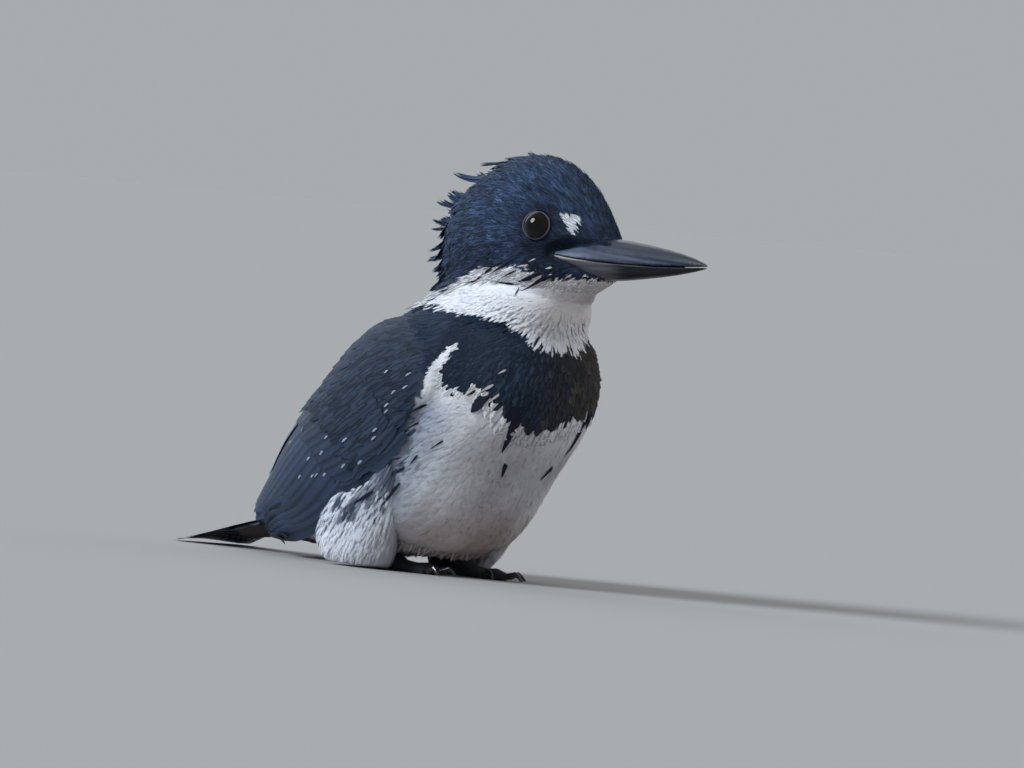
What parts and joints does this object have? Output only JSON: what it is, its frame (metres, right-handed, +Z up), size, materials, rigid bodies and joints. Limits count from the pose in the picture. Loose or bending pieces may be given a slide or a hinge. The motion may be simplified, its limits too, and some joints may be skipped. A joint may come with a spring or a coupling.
{
  "type": "kingfisher",
  "caption": "Life-size still model of a male belted kingfisher, sitting low on its feet with the head up, wings folded and tail tip on the floor.",
  "frame": {"origin": "centre of the bounding box's bottom, on the floor that the feet and the tail tip rest on", "axes": "+X forward along the bill, +Y the bird's left, +Z up"},
  "size_m": [0.2697, 0.081, 0.1479],
  "materials": {
    "slate_feathers": "matt slate-blue feather vanes with darker shafts and small white dots on the wing",
    "white_feathers": "soft white feather, slightly silky",
    "bill_horn": "satin slate-grey horn, paler along the mouth line",
    "claw_horn": "smooth black horn",
    "foot_skin": "scaly dark blue-grey skin",
    "eye_gloss": "wet, very dark brown"
  },
  "bodies": {
    "root": {"trunk": "white_feathers", "neck": "white_feathers", "head": "slate_feathers", "wing_right": "slate_feathers", "wing_left": "slate_feathers", "tail": "slate_feathers", "bill_upper": "bill_horn", "bill_lower": "bill_horn", "eye_right": "eye_gloss", "eye_left": "eye_gloss", "leg_right": "foot_skin", "claw_inner_right": "claw_horn", "claw_middle_right": "claw_horn", "claw_outer_right": "claw_horn", "claw_hind_right": "claw_horn", "leg_left": "foot_skin", "claw_inner_left": "claw_horn", "claw_middle_left": "claw_horn", "claw_outer_left": "claw_horn", "claw_hind_left": "claw_horn"}
  },
  "joints": []
}
